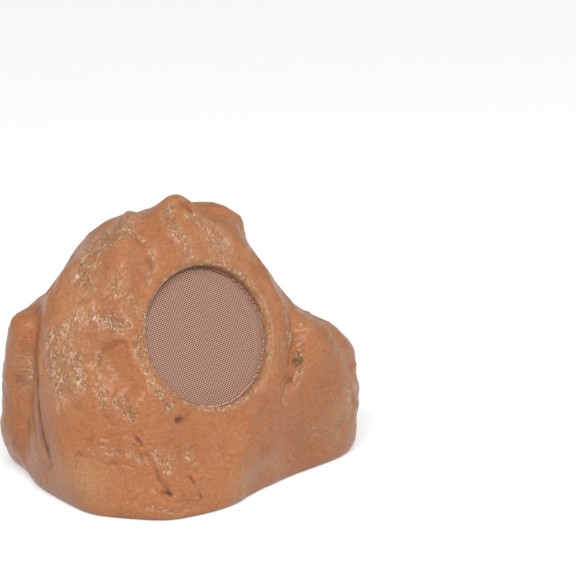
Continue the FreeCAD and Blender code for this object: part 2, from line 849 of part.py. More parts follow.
def pieces():
    left_wire, right_wire = lead_wires()
    return {
        "rock_shell": rock_shell(),
        "grille_mesh": in_face(grille_mesh()),
        "grille_tape": in_face(grille_tape()),
        "driver_gasket": in_face(driver_gasket()),
        "woofer_basket": in_face(basket()),
        "woofer_surround": in_face(surround()),
        "woofer_cone": in_face(woofer_cone()),
        "dust_cap": in_face(dust_cap()),
        "coil_former": in_face(coil_former()),
        "voice_coil": in_face(voice_coil()),
        "woofer_spider": in_face(spider()),
        "top_plate": in_face(top_plate()),
        "magnet_ring": in_face(magnet_ring()),
        "pole_and_back_plate": in_face(pole_and_back_plate()),
        "driver_screws": in_face(driver_screws()),
        "terminal_strip": in_face(terminal_strip()),
        "terminal_lugs": in_face(terminal_lugs()),
        "lead_wire_left": left_wire,
        "lead_wire_right": right_wire,
        "terminal_block": terminal_block(),
        "damping_wool": damping_wool(),
        "base_plate": base_plate(),
        "base_gasket": base_gasket(),
        "base_screws": base_screws(),
        "feet": feet(),
        "gland_body": in_gland(gland_body()),
        "gland_washer": in_gland(gland_washer()),
        "gland_seal": in_gland(gland_seal()),
        "gland_cap_nut": in_gland(gland_cap_nut()),
        "gland_lock_nut": in_gland(gland_lock_nut()),
    }


def main():
    os.makedirs("parts", exist_ok=True)
    shapes = pieces()
    box = Part.makeCompound(list(shapes.values())).BoundBox
    home = V(-(box.XMin + box.XMax) / 2, -(box.YMin + box.YMax) / 2, RIM_HEIGHT)
    for name, shape in shapes.items():
        shape.translate(home)
        shape.exportStep("parts/" + name + ".step")


main()
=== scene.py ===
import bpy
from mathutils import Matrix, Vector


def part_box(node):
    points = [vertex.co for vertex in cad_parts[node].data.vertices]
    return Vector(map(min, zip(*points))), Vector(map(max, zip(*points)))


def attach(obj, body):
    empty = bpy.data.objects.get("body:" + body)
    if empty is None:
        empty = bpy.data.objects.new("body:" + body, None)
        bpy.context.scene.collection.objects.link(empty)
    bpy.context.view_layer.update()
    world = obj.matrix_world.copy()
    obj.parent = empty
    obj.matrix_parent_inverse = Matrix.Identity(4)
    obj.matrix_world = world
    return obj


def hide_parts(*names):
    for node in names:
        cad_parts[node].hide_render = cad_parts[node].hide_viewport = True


bl_info = {
    "name": "Rock Garden Speaker",
    "version": (1, 0, 0),
    "blender": (4, 5, 0),
    "location": "3D View > Sidebar > Rock",
    "description": "Dresses the packed rock speaker and sets it on a pale floor",
    "category": "Object",
}

import math

import bpy
import numpy as np

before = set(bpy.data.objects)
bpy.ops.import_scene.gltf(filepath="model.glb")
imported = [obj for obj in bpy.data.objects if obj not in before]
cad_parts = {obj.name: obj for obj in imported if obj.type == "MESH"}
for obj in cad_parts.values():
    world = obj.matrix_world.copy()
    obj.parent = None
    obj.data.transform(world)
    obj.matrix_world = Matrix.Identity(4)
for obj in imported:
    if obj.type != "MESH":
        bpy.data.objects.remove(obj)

norm = np.linalg.norm
MM = 0.001

# The rock's form, as its solid has it: soft flat faces, each with the compass
# direction it looks in (0 front, 90 right), its tilt and its distance in mm
# from the heart of the rock.
HEART_HEIGHT = 110.0
MAIN_BOULDER = [
    (0, 22, 70), (-12, 0, 143), (-48, 17, 119), (-92, 10, 160), (-92, -8, 171),
    (-117, 5, 151), (-70, 42, 149), (-135, 40, 148), (-30, 80, 137), (68, 33, 99),
    (26, 0, 91), (30, 20, 85), (80, 0, 128), (180, 12, 106), (170, 45, 124),
    (130, 25, 112), (-140, 5, 138),
]
RIGHT_BOULDER = [
    (10, 0, 81), (49, 0, 146), (90, 0, 180), (90, 59, 83), (90, 80, 49), (-60, 20, -26),
    (165, 12, 90), (120, 5, 144),
]
LEFT_BOULDER = [
    (-95, 5, 161), (-95, -25, 178), (-20, 0, -7), (-90, 70, 90), (180, 8, 114),
    (-135, 5, 173), (-120, 40, 146), (90, 0, -60),
]
KNOBS = [(-12, 14, 240, 22), (44, 14, 218, 19)]
MAIN_SOFTNESS = 6.0
RIGHT_SOFTNESS = 10.0
LEFT_SOFTNESS = 6.0
CREASE_SOFTNESS = 5.0
FOOT_SOFTNESS = 11.0
FOOT_DROP = 10.0
CORE = (-12.0, 14.0, 110.0)
WALL = 6.0
REACH_LIMIT = 330.0

# The grille opening, in mm
LIP = (-23.0, -57.0, 147.6)
FACE_TILT = 22.0
OPENING_RADIUS = 65.0
GRILLE_DEPTH = 7.8
GRILLE_SHEET = 1.0
LEDGE_DEPTH = 9.6
LEDGE_ROUND = 0.2
CHAMBER_RADIUS = 62.4
DRIVER_SEAT = 25.0
SEAT_ROUND = 0.3
BAFFLE_HOLE = 53.9
BAFFLE_BACK = 35.0

# Rings of the opening: radius and depth on its stepped wall, from the baffle's
# back outwards, then way out and down on its rounded lip, then radius beside it
WELL_RINGS = [
    (BAFFLE_HOLE, BAFFLE_BACK),
    (BAFFLE_HOLE, DRIVER_SEAT + SEAT_ROUND),
    (BAFFLE_HOLE + SEAT_ROUND, DRIVER_SEAT),
    (CHAMBER_RADIUS - SEAT_ROUND, DRIVER_SEAT),
    (CHAMBER_RADIUS, DRIVER_SEAT - SEAT_ROUND),
    (CHAMBER_RADIUS, LEDGE_DEPTH + LEDGE_ROUND),
    (CHAMBER_RADIUS + LEDGE_ROUND, LEDGE_DEPTH),
    (OPENING_RADIUS - LEDGE_ROUND, LEDGE_DEPTH),
    (OPENING_RADIUS, LEDGE_DEPTH - LEDGE_ROUND),
    (OPENING_RADIUS, GRILLE_DEPTH),
    (OPENING_RADIUS, GRILLE_DEPTH * 0.8),
]
LIP_ROUNDING = [(0.0, 3.4), (0.25, 2.1), (0.75, 1.2), (1.5, 0.5), (2.4, 0.15)]
FACE_RINGS = [68.5, 69.8, 71.1, 72.5]

# The perforated sheet: the gap round it in mm, how many pitches past its edge cells go on and short
# of it holes stop, and how dark the painted shade makes the blind cells
SHEET_GAP = 0.4
CELLS_PAST = 0.7
BLIND_RIM = 0.55
BLIND_SHADE = 0.7

# The foot, the inset and height of its steps, and the gland's flat, in mm
PLATE_INSET = 12.0
REBATE = 8.5
FLANGE_INSET = 27.0
FLANGE_TOP = 15.5
OUTLINE_HEIGHT = 14.0
FOOT_RIM = 2.5
FOOT_STEPS = [
    (PLATE_INSET, 0.0),
    (PLATE_INSET, REBATE),
    (FLANGE_INSET, REBATE),
    (FLANGE_INSET, FLANGE_TOP),
]
GLAND_X = 52.0
GLAND_HEIGHT = 36.0
SPOT_DEPTH = 3.0
SPOT_RADIUS = 15.0
SPOT_EDGE = 2.5

# The rock's grid and the rays that find it, lengths in mm
INNER_ROWS = 20
COARSE_ROWS = 40
FOOT_SAMPLES = 1440
HALVINGS = 22
LIP_RAY_START = 24.0
LIP_RAY_LENGTH = 60.0
SLOPE_STEP = 0.5
BOX_GAP = 0.02
TINY = 1e-9

# Where the relief fades in, in mm from the opening's axis, the ground and the
# gland's middle, and the share of the fine relief that the lip keeps
LIP_FADE = (67.0, 80.0)
FOOT_FADE = (1.0, 12.0)
GLAND_FADE = (SPOT_RADIUS + 2.0, SPOT_RADIUS + 12.0)
LIP_FINE = 0.25
# The lip's rim band, in mm from the axis, marked scuffed for the coating's painted glints and paler
# tone, partly painted sheen
RIM_SCUFF = (67.5, 71.5)

# Seeded noise. Layered: wavelength in mm, octaves and seed
SWELL_CLOUDS = (52.0, 2, 11)
SWELL_FACETS = (38.0, 2, 15)
CRUMPLES = (16.0, 3, 21)
WRINKLES = (8.0, 3, 31)
# Pushing points about: wavelength and shift in mm, and seed
COARSE_RAGS = (22.0, 6.0, 81)
FINE_RAGS = (8.0, 3.0, 85)
CRUMPLE_BEND = (15.0, 5.0, 51)
WRINKLE_BEND = (8.0, 3.0, 55)
STROKE_FRAY = (9.0, 2.2, 41)
# Single: wavelength in mm and seed
CRUMPLE_SHARE = (27.0, 61)
STROKE_SHARE = (12.0, 45)
BACK_SCUFF = (46.0, 71)
BACK_SCUFF_FINE = (21.0, 72)
BACK_WASH = (60.0, 73)
RIM_WEAR = (24.0, 91)
LATTICE = 32

# What the attributes that the coating reads say where nothing is carved. On the opening's stepped
# wall and rounded lip, and under and inside the foot, the full scuff gives a paler tone that is
# partly painted sheen, with painted glints and specks of painted shade, and the high relief gives the
# pale crest tone: painted light on the shaded recess wall.
PLAIN_MARKS = {"scuff_and_sheen": 1.0, "wash": 0.0, "relief": 2.2}

# The picture plane that the marks are drawn on, square to the camera: its azimuth
# and elevation, its step in mm, where the rock's origin falls on it, its width in
# steps and the point behind its middle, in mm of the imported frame
SIGHT_AZIMUTH = -34.0
SIGHT_ELEVATION = 18.0
SIGHT_STEP = 0.923
SIGHT_ORIGIN = (194.9, 467.5)
PICTURE_SIZE = 576
PICTURE_AIM = (96.2, -18.1, 158.6)

# How far from that plane a dropped point looks for the rock, and how finely
DROP_DEPTHS = np.arange(260.0, -200.0, -4.0)
DROP_HALVINGS = 12
BAND_FADE = 0.7

# The studio: places in metres, tones and strengths from 0 to 1
LAMP_AIM = (0.0, 0.0, 0.12)
KEY_PLACE = (-1.3, -1.6, 2.0)
FILL_PLACE = (2.0, -1.6, 1.0)
LAMP_SIZE = 1.4
FLOOR_DROP = 0.0002
FLOOR_TONE = 0.62
FLOOR_GLOW = 0.5
SENSOR_WIDTH = 36.0
SIGHT_LIMIT = 200.0

# Broad ridges and hollows of the form: width and height in mm, then the points
# they run through, in mm across and up the picture plane from the rock's origin
SWELLS = [
    (12, 4, (-59, 232), (-65, 212), (-68, 190), (-65, 164), (-59, 138)),
    (12, -5, (-40, 214), (-44, 190), (-49, 166), (-50, 145)),
    (14, -7, (-76, 101), (-69, 91), (-61, 81)),
    (7, 3, (-102, 107), (-86, 118), (-67, 125)),
    (30, 4, (-115, 122), (-104, 88)),
    (18, -2, (-125, 35), (-97, 38), (-69, 35)),
    (26, -1, (-97, 0), (-51, -8)),
    (14, -14, (8, 246), (18, 240)),
    (18, -4, (-64, 236), (-40, 243)),
    (18, -5, (-134, 168), (-120, 188)),
    (9, 3, (58, 193), (69, 168), (79, 144), (82, 118)),
    (9, -6, (47, 221), (52, 208), (58, 195)),
    (8, -4, (89, 134), (91, 113), (91, 92), (85, 75)),
    (9, 3, (100, 135), (119, 131)),
    (12, -4, (139, 116), (147, 99)),
    (15, -2, (62, 3), (97, 14), (130, 27)),
    (12, -5, (56, -18), (67, -12)),
    (15, 9, (-161, 132)),
    (8, -4, (-146, 134), (-150, 108), (-152, 62), (-147, 25)),
    (7, -4, (-135, 165)),
    (20, -2, (-82, 223), (-130, 170)),
    (16, -3, (122, 128), (146, 100)),
]

# Ridges and grooves on it: width and height in mm, then the points they run
# through, in steps across and down the picture
STROKES = [
    (3.0, 2.2, (51, 294), (50, 310), (48, 330), (46, 350), (45, 385), (48, 412),
     (54, 440), (62, 468)),
    (4.0, -2.6, (44, 300), (42, 325), (40, 345), (39, 380), (41, 410),
     (46, 440), (52, 462)),
    (2.0, -1.6, (22, 348), (21, 382)),
    (2.0, -1.6, (35, 358), (34, 402)),
    (2.0, -1.2, (29, 418), (31, 442)),
    (4.5, 3.0, (131, 213), (128, 235), (124, 262), (127, 285)),
    (3.5, -2.6, (133, 237), (147, 241), (152, 251), (154, 263), (150, 280), (148, 294)),
    (3.0, 2.0, (134, 231), (148, 235), (157, 247), (160, 262), (156, 280)),
    (3.0, 1.8, (50, 333), (75, 313), (92, 304)),
    (2.2, -2.0, (80, 328), (79, 350), (81, 365), (85, 378), (91, 386)),
    (2.6, 1.4, (75, 330), (74, 352), (77, 370)),
    (2.6, 2.2, (92, 347), (105, 338), (120, 334), (127, 336)),
    (3.2, 2.4, (101, 350), (99, 368), (100, 385), (104, 398)),
    (3.0, 2.0, (131, 338), (136, 352), (143, 370), (152, 388)),
    (2.0, -2.8, (144, 290), (144, 297)),
    (1.8, -3.0, (28, 347), (33, 339)),
    (2.0, -5.0, (192, 209), (192, 211)),
    (1.8, -3.0, (180, 419), (184, 416)),
    (2.0, -1.8, (168, 401), (168, 403)),
    (1.6, -1.8, (237, 257), (238, 259)),
    (1.8, -1.8, (228, 470), (228, 472)),
    (3.0, -6.0, (300, 358), (296, 370), (291, 380), (287, 387)),
    (2.4, -4.0, (300, 352), (297, 366), (292, 378), (286, 390)),
    (2.0, 1.8, (288, 318), (287, 345), (289, 365)),
    (2.4, 1.8, (303, 356), (300, 370), (295, 382)),
    (2.4, 1.6, (294, 360), (290, 370), (285, 380)),
    (3.0, -1.6, (229, 214), (226, 224), (228, 234)),
    (3.5, 1.5, (218, 240), (235, 245), (246, 252), (255, 262)),
    (4.0, 1.5, (300, 330), (315, 325), (330, 330), (345, 345)),
    (1.8, -1.3, (80, 440), (105, 437), (125, 433)),
    (1.8, -1.3, (90, 445), (120, 442), (145, 444)),
    (1.8, -1.3, (100, 452), (120, 447), (140, 452)),
    (1.8, -1.2, (115, 460), (135, 465)),
    (1.8, -1.0, (78, 452), (95, 455), (112, 463)),
    (2.0, -2.0, (138, 436), (145, 445), (152, 456), (160, 468), (168, 482), (174, 491)),
    (1.8, -1.6, (158, 486), (166, 489), (174, 491)),
    (1.8, -2.4, (191, 472), (196, 482), (205, 494)),
    (1.6, -1.4, (196, 477), (203, 487)),
    (1.6, -1.2, (325, 421), (333, 430)),
    (1.8, -1.2, (265, 468), (275, 462), (290, 461)),
    (1.5, 1.2, (277, 308), (280, 330), (283, 352)),
    (1.5, 1.2, (282, 310), (286, 325), (289, 345)),
    (3.0, 1.6, (168, 222), (176, 230), (180, 246)),
    (2.2, -1.6, (173, 220), (176, 232), (172, 244)),
    (2.2, 1.4, (205, 224), (212, 234), (216, 246)),
    (6.0, -2.0, (178, 207), (186, 206)),
    (3.0, 1.2, (140, 350), (150, 370), (160, 390), (172, 406)),
    (1.6, -1.0, (262, 462), (300, 452), (335, 436)),
]

# Scuffed and wrinkled bands, which the coating paints with a paler tone that is partly painted sheen,
# painted glints and specks of painted shade: half width in steps of the picture and strength, then
# the points they run through, as for the ridges
SCUFFS = [
    (14, 1.0, (125, 222), (110, 240), (95, 258), (88, 275)),
    (10, 1.0, (58, 330), (80, 318), (105, 312), (125, 318)),
    (13, 1.0, (62, 345), (58, 370), (65, 392)),
    (6, 0.9, (76, 340), (77, 365), (84, 388)),
    (6, 1.0, (102, 352), (100, 375), (106, 402)),
    (6, 1.0, (122, 400), (133, 412)),
    (3, 0.9, (131, 218), (129, 250)),
    (4, 0.9, (138, 238), (152, 246), (156, 262), (152, 288)),
    (8, 0.8, (118, 285), (130, 297), (143, 306)),
    (6, 1.0, (140, 335), (144, 360), (152, 385), (168, 410)),
    (8, 0.9, (168, 205), (171, 225), (180, 240), (190, 258)),
    (9, 0.9, (196, 218), (210, 232), (224, 252)),
    (6, 0.7, (222, 214), (234, 216), (244, 232)),
    (6, 0.6, (300, 326), (318, 322), (334, 334), (346, 352)),
    (4, 0.7, (172, 200), (190, 198), (204, 206)),
    (5, 1.0, (285, 312), (284, 340), (287, 370), (284, 402)),
    (4, 0.9, (296, 340), (298, 365), (289, 392)),
    (4, 0.6, (236, 262), (252, 285), (262, 305)),
    (7, 0.8, (158, 448), (172, 462)),
    (6, 0.5, (188, 454), (196, 462)),
    (5, 0.5, (95, 448), (125, 452), (140, 458)),
    (3, 0.5, (145, 505), (170, 509), (200, 506)),
    (6, 0.5, (345, 385), (350, 410), (340, 430)),
    (5, 0.4, (300, 420), (322, 428)),
    (5, 0.4, (24, 318), (34, 312)),
    (6, 0.5, (30, 355), (33, 400), (36, 440)),
]

# Paler washes of the finish, in the same way
WASHES = [
    (9, 0.8, (28, 360), (32, 400), (33, 440)),
    (18, 0.5, (50, 465), (90, 480)),
    (12, 0.5, (240, 478), (280, 462)),
    (14, 0.5, (345, 400), (338, 430)),
    (26, 0.3, (100, 250), (75, 330), (65, 380)),
    (7, 0.6, (262, 300), (266, 340), (262, 385)),
    (30, 0.2, (200, 285), (215, 240)),
]

# Finishes of the solids that keep their shape: name, light and dark tone, gloss
# from and to, grain a metre, height of the bump in metres, metal, and the nodes
PLAIN_FINISHES = [
    ("closed_foam", (52, 50, 49), (34, 33, 33), (0.8, 0.95), 1400, 0.0004, 0,
     ("grille_tape", "driver_gasket", "base_gasket")),
    ("black_enamel", (38, 38, 40), (27, 27, 29), (0.32, 0.5), 700, 0.0001, 0.1,
     ("woofer_basket",)),
    ("roll_rubber", (42, 41, 41), (30, 30, 30), (0.5, 0.68), 800, 0.00008, 0,
     ("woofer_surround",)),
    ("pressed_paper", (64, 61, 58), (44, 42, 41), (0.7, 0.9), 500, 0.0004, 0, ("woofer_cone",)),
    ("cap_paper", (54, 52, 50), (40, 38, 37), (0.55, 0.75), 600, 0.0003, 0, ("dust_cap",)),
    ("former_kapton", (150, 92, 44), (118, 68, 30), (0.25, 0.4), 400, 0.00005, 0,
     ("coil_former",)),
    ("coil_copper", (196, 112, 68), (150, 80, 46), (0.25, 0.42), 600, 0.0001, 1, ("voice_coil",)),
    ("spider_cotton", (190, 150, 92), (160, 122, 70), (0.8, 0.95), 1600, 0.0004, 0,
     ("woofer_spider",)),
    ("zinc_plate", (176, 178, 178), (146, 148, 150), (0.28, 0.46), 500, 0.00008, 1,
     ("top_plate", "pole_and_back_plate")),
    ("ferrite", (58, 58, 60), (40, 40, 42), (0.6, 0.8), 400, 0.0003, 0, ("magnet_ring",)),
    ("black_zinc", (72, 72, 74), (48, 48, 50), (0.3, 0.48), 900, 0.00008, 1,
     ("driver_screws", "base_screws")),
    ("strip_board", (142, 104, 62), (116, 82, 48), (0.55, 0.7), 700, 0.0001, 0,
     ("terminal_strip",)),
    ("tinned_brass", (214, 186, 122), (178, 150, 92), (0.25, 0.4), 600, 0.00006, 1,
     ("terminal_lugs",)),
    ("black_sleeve", (34, 34, 35), (24, 24, 25), (0.4, 0.55), 500, 0.00008, 0,
     ("lead_wire_left",)),
    ("red_sleeve", (168, 34, 28), (134, 24, 20), (0.4, 0.55), 500, 0.00008, 0,
     ("lead_wire_right",)),
    ("block_moulding", (222, 220, 210), (200, 198, 188), (0.45, 0.6), 600, 0.00008, 0,
     ("terminal_block",)),
    ("wool", (226, 222, 212), (196, 191, 180), (0.9, 1.0), 900, 0.0012, 0, ("damping_wool",)),
    ("base_moulding", (70, 52, 40), (54, 39, 30), (0.5, 0.7), 700, 0.0003, 0, ("base_plate",)),
    ("foot_rubber", (40, 39, 38), (28, 27, 27), (0.7, 0.88), 900, 0.0002, 0, ("feet",)),
    ("gland_nylon", (44, 43, 43), (31, 31, 31), (0.4, 0.58), 700, 0.0001, 0,
     ("gland_body", "gland_cap_nut", "gland_lock_nut")),
    ("seal_rubber", (36, 35, 35), (26, 26, 26), (0.65, 0.82), 800, 0.0001, 0,
     ("gland_washer", "gland_seal")),
]


def compass(azimuth, elevation):
    """The unit way that looks along a compass direction, tilted upwards."""
    a, e = math.radians(azimuth), math.radians(elevation)
    return np.array((math.sin(a) * math.cos(e), -math.cos(a) * math.cos(e), math.sin(e)))


def planes(faces):
    """Each flat face as its outward way and its distance."""
    return np.array([(*compass(a, e), far) for a, e, far in faces])


BOULDERS = [
    (planes(MAIN_BOULDER), MAIN_SOFTNESS),
    (planes(RIGHT_BOULDER), RIGHT_SOFTNESS),
    (planes(LEFT_BOULDER), LEFT_SOFTNESS),
]
TILT = math.radians(FACE_TILT)
FACE_OUT = np.array((0.0, -math.cos(TILT), math.sin(TILT)))
FACE_UP = np.array((0.0, math.sin(TILT), math.cos(TILT)))
FACE_SIDE = np.array((1.0, 0.0, 0.0))
SIGHT = compass(SIGHT_AZIMUTH, SIGHT_ELEVATION)
SIGHT_SIDE = compass(SIGHT_AZIMUTH + 90.0, 0.0)
SIGHT_UP = np.cross(SIGHT, SIGHT_SIDE)


def home():
    """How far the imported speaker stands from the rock's own origin: the grille's middle says it."""
    low, high = (np.array(corner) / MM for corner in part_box("grille_mesh"))
    middle = np.array(LIP) - FACE_OUT * (GRILLE_DEPTH + GRILLE_SHEET / 2)
    return (low + high) / 2 - middle


HOME = home()


def soft_max(values, softness):
    """The largest of the values, rounded off where two come near each other.

    It is the log of their summed exponentials."""
    top = values.max(axis=0)
    return top + softness * np.log(np.exp((values - top) / softness).sum(axis=0))


def plain_depth(points):
    """Distance outside the joined boulders in mm, negative inside.

    Each boulder is the soft greatest of its face distances, and the rock is the
    soft least of the boulders and the knobs."""
    raised = points - (0.0, 0.0, HEART_HEIGHT)
    bodies = []
    for faces, softness in BOULDERS:
        bodies.append(-soft_max(faces[:, :3] @ raised.T - faces[:, 3:], softness))
    for x, y, z, radius in KNOBS:
        bodies.append(radius - norm(points - (x, y, z), axis=1))
    return -soft_max(np.array(bodies), CREASE_SOFTNESS)


def distance_to_line(points, line):
    """Least distance from each point to a line of straight runs, or to its one point."""
    best = norm(points - line[0], axis=1)
    for start, end in zip(line[:-1], line[1:]):
        run = end - start
        along = np.clip((points - start) @ run / (run @ run + TINY), 0, 1)
        best = np.minimum(best, norm(points - start - along[:, None] * run, axis=1))
    return best


def dropped(across, up):
    """Points of the picture plane, in mm, dropped along the sight line onto the plain boulders."""
    starts = np.outer(across, SIGHT_SIDE) + np.outer(up, SIGHT_UP)
    walk = starts[:, None] + DROP_DEPTHS[None, :, None] * SIGHT
    inside = plain_depth(walk.reshape(-1, 3)).reshape(len(starts), -1) < 0
    first = np.where(inside.any(axis=1), inside.argmax(axis=1), len(DROP_DEPTHS) // 2)
    outer = starts + DROP_DEPTHS[np.maximum(first - 1, 0)][:, None] * SIGHT
    inner = starts + DROP_DEPTHS[first][:, None] * SIGHT
    for _ in range(DROP_HALVINGS):
        middle = (outer + inner) / 2
        solid = (plain_depth(middle) < 0)[:, None]
        inner = np.where(solid, middle, inner)
        outer = np.where(solid, outer, middle)
    return (inner + outer) / 2


def from_picture(spots):
    """The rock's points that these points of the picture show."""
    across, down = np.asarray(spots, float).T
    left, ground = SIGHT_ORIGIN
    return dropped((across - left) * SIGHT_STEP, (ground - down) * SIGHT_STEP)


SWELL_LINES = [(width, rise, dropped(*np.array(line, float).T)) for width, rise, *line in SWELLS]


def rock_depth(points):
    """The plain boulders with the broad ridges raised and the hollows sunk.

    Each is a bell curve of the distance to its line."""
    depth = plain_depth(points)
    for width, rise, line in SWELL_LINES:
        depth = depth - rise * np.exp(-((distance_to_line(points, line) / width) ** 2))
    return depth


def skin_depth(points):
    """The rock drawn in a little towards the ground."""
    return soft_max(np.array((rock_depth(points), -points[:, 2] - FOOT_DROP)), FOOT_SOFTNESS)


def reach(field, level, starts, ways, far=REACH_LIMIT):
    """Where rays from the starts come up to the level, by halving the span they may run."""
    starts = np.broadcast_to(starts, ways.shape)
    low = np.zeros(len(ways))
    high = np.full(len(ways), far)
    for _ in range(HALVINGS):
        middle = (low + high) / 2
        inside = field(starts + middle[:, None] * ways) < level
        low = np.where(inside, middle, low)
        high = np.where(inside, high, middle)
    return starts + ((low + high) / 2)[:, None] * ways


def on_face(radius, angle, depth):
    """Points in the grille opening's frame: radius and angle round its axis, depth along it."""
    return (
        np.array(LIP)
        + (radius * np.cos(angle))[..., None] * FACE_SIDE
        + (radius * np.sin(angle))[..., None] * FACE_UP
        + np.asarray(depth)[..., None] * FACE_OUT
    )


def lip_height(radius, angle):
    """How far the rock's face stands above the lip plane at that radius and angle."""
    starts = on_face(radius, angle, -LIP_RAY_START)
    ways = np.broadcast_to(FACE_OUT, starts.shape)
    return (reach(skin_depth, 0.0, starts, ways, LIP_RAY_LENGTH) - LIP) @ FACE_OUT


def outline(level, azimuth, height):
    """The rock's outline at a height, seen from above, at that level of its field."""
    ways = np.stack([np.sin(azimuth), -np.cos(azimuth), np.zeros_like(azimuth)], axis=-1)
    return reach(rock_depth if level else skin_depth, level, (*CORE[:2], height), ways)


def flattened(ways):
    """Ways from the core laid out on a plane: up is its middle, down its far rim."""
    polar = np.arccos(np.clip(ways[..., 2] / norm(ways, axis=-1), -1, 1))
    azimuth = np.arctan2(ways[..., 1], ways[..., 0])
    return np.tan(polar / 2)[..., None] * np.stack([np.cos(azimuth), np.sin(azimuth)], axis=-1)


def unflattened(spots):
    """The ways that flattened() laid out at these spots."""
    rho = norm(spots, axis=-1)
    scale = 2 / (1 + rho**2)
    upward = (1 - rho**2) / (1 + rho**2)
    return np.concatenate([spots * scale[..., None], upward[..., None]], axis=-1)


def eased(values, low, high):
    """0 below low, 1 above high and a smooth ease between."""
    share = np.clip((values - low) / (high - low), 0, 1)
    return share * share * (3 - 2 * share)


def lattice_noise(points, wavelength, seed):
    """Smooth seeded noise from -1 to 1: random values on a cubic lattice, eased between."""
    draw = np.random.default_rng(seed)
    values = draw.uniform(-1, 1, (LATTICE, LATTICE, LATTICE))
    turn = np.linalg.qr(draw.normal(size=(3, 3)))[0]
    spots = points @ turn / wavelength + draw.uniform(0, LATTICE, 3)
    cell = np.floor(spots).astype(int)
    share = eased(spots - cell, 0, 1)
    total = np.zeros(len(points))
    for corner in np.ndindex(2, 2, 2):
        weight = np.prod(np.where(corner, share, 1 - share), axis=1)
        i, j, k = ((cell + corner) % LATTICE).T
        total += weight * values[i, j, k]
    return total


def layered(points, wavelength, octaves, seed, shape=np.asarray):
    """Noise at ever finer wavelengths, each put through a shape and half as strong."""
    return sum(
        shape(lattice_noise(points, wavelength / 2**k, seed + k)) / 2**k for k in range(octaves)
    )


def creased(noise):
    """Sharp crests where the noise crosses nought."""
    return 1 - 3 * np.abs(noise)


def warped(points, wavelength, shift, seed):
    """Points pushed about by smooth noise, so that what is drawn on them runs unevenly."""
    push = [lattice_noise(points, wavelength, seed + k) for k in range(3)]
    return points + shift * np.stack(push, axis=-1)


def smooth_line(points):
    """A line with its corners eased, by cutting each corner twice."""
    line = points
    for _ in range(2):
        if len(line) < 3:
            return line
        early = line[:-1] * 0.75 + line[1:] * 0.25
        late = line[:-1] * 0.25 + line[1:] * 0.75
        line = np.concatenate([line[:1], np.stack([early, late], 1).reshape(-1, 3), line[-1:]])
    return line


def bands(points, marks):
    """How strongly each point lies in a drawn band, from 0 to 1, fading over its edge."""
    total = np.zeros(len(points))
    for radius, strength, *line in marks:
        away = distance_to_line(points, from_picture(line)) / (radius * SIGHT_STEP)
        total = np.maximum(total, strength * np.exp(-(away**2) * BAND_FADE))
    return total


def outward(points):
    """The rock's outward way at each point, from its field's slope."""
    base = skin_depth(points)
    steps = SLOPE_STEP * np.eye(3)
    slope = np.stack([skin_depth(points + step) - base for step in steps], axis=1)
    return slope / norm(slope, axis=1, keepdims=True)


def closed_quads(rows, columns):
    """Four-sided faces of a grid that closes on itself both ways, row by row."""
    i = np.arange(rows)[:, None] * columns
    j = np.arange(columns)[None, :]
    over = (i + columns) % (rows * columns)
    k = (j + 1) % columns
    return np.stack([i + j, i + k, over + k, over + j], axis=-1).reshape(-1, 4)


def placed(name, data):
    """A new object in the scene."""
    thing = bpy.data.objects.new(name, data)
    bpy.context.scene.collection.objects.link(thing)
    return thing


def new_piece(name, points, faces, finish, body, slot, *nodes):
    """A piece from points in mm of the rock's own frame, in the place of its nodes."""
    mesh = bpy.data.meshes.new(name)
    mesh.from_pydata((points + HOME) * MM, [], faces)
    mesh.polygons.foreach_set("use_smooth", np.ones(len(mesh.polygons), dtype=bool))
    mesh.update()
    piece = placed(name, mesh)
    mesh.materials.append(finish)
    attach(piece, body)
    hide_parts(*nodes)
    return piece


def mark(piece, name, values):
    """Gives each point of a piece a number, for its finish to read."""
    layer = piece.data.attributes.new(name, "FLOAT", "POINT")
    layer.data.foreach_set("value", values.astype(np.float32).ravel())


def paint(red, green, blue):
    """A colour given as a painter's 0 to 255 values, as the renderer's linear ones."""
    parts = np.array((red, green, blue)) / 255
    linear = np.where(parts <= 0.04045, parts / 12.92, ((parts + 0.055) / 1.055) ** 2.4)
    return (*(float(part) for part in linear), 1.0)


